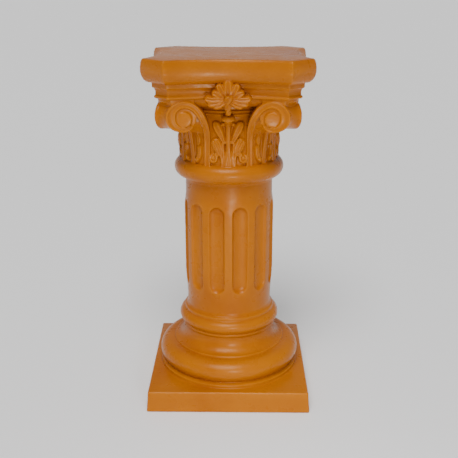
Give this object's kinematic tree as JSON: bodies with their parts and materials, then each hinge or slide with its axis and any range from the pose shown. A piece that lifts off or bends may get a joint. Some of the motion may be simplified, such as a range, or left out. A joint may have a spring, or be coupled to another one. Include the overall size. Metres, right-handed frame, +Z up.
{
  "type": "round column",
  "caption": "Decorative round column: square plinth, moulded base, fluted shaft and a leafed capital with corner scrolls under a hollow-sided top.",
  "frame": {"origin": "centre of the underside of the plinth", "axes": "+Z up along the column's axis; the four faces of the plinth and the capital look along -Y, +X, +Y and -X"},
  "size_m": [0.3056, 0.3056, 0.6463],
  "materials": {
    "ochre_paint": "satin"
  },
  "bodies": {
    "root": {"column": "ochre_paint"}
  },
  "joints": []
}
